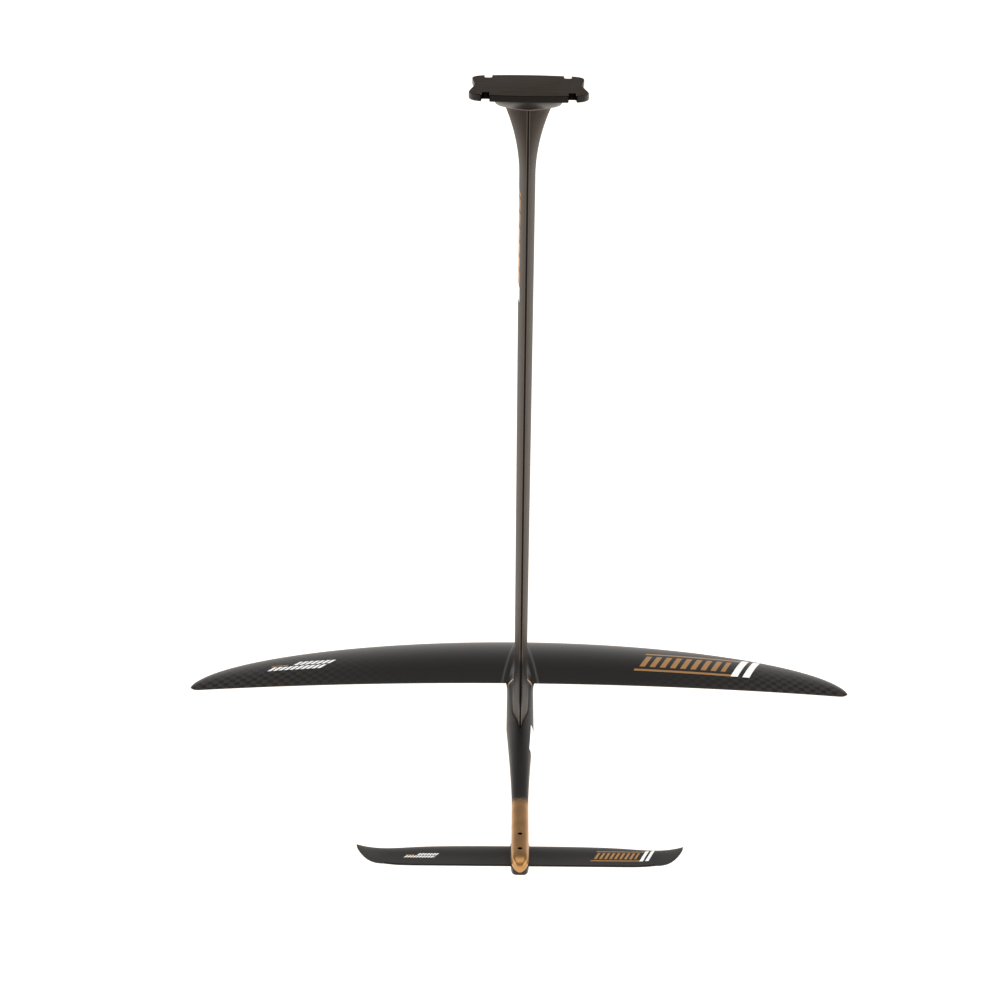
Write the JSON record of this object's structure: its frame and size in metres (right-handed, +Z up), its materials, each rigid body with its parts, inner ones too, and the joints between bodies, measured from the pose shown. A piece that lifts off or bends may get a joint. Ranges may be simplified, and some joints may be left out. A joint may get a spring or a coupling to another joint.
{
  "type": "hydrofoil mast and wing set",
  "caption": "Hydrofoil: a slotted board plate, a slim strut, a tapering fuselage, a wide front wing and a small upturned rear wing.",
  "frame": {"origin": "centre of the mast plate's flat top face, which bolts under a board", "axes": "+Z up out of the plate's top face, +Y the direction of travel, +X across the span to the right"},
  "size_m": [0.833, 0.5842, 0.7651],
  "materials": {
    "plate_black": "matt moulded",
    "mast_carbon": "satin",
    "core_foam": "matt",
    "fuselage_paint": "satin, fading to gold at the tail",
    "wing_carbon": "satin",
    "gold_ring": "satin metallic",
    "seal_grey": "matt",
    "screw_steel": "satin",
    "insert_brass": "machined",
    "shim_black": "matt"
  },
  "bodies": {
    "root": {"mast_plate": "plate_black", "mast_blade": "mast_carbon", "mast_core": "core_foam", "fuselage": "fuselage_paint", "front_wing": "wing_carbon", "rear_wing": "wing_carbon", "rear_wing_shim": "shim_black", "wing_trim_ring": "gold_ring", "joint_seal": "seal_grey", "mast_screw_front": "screw_steel", "mast_screw_rear": "screw_steel", "mast_washer_front": "screw_steel", "mast_washer_rear": "screw_steel", "mast_insert_front": "insert_brass", "mast_insert_rear": "insert_brass", "front_wing_screw_1": "screw_steel", "front_wing_screw_2": "screw_steel", "front_wing_screw_3": "screw_steel", "front_wing_insert_1": "insert_brass", "front_wing_insert_2": "insert_brass", "front_wing_insert_3": "insert_brass", "rear_wing_screw_front": "screw_steel", "rear_wing_screw_rear": "screw_steel", "rear_wing_insert_front": "insert_brass", "rear_wing_insert_rear": "insert_brass"}
  },
  "joints": []
}
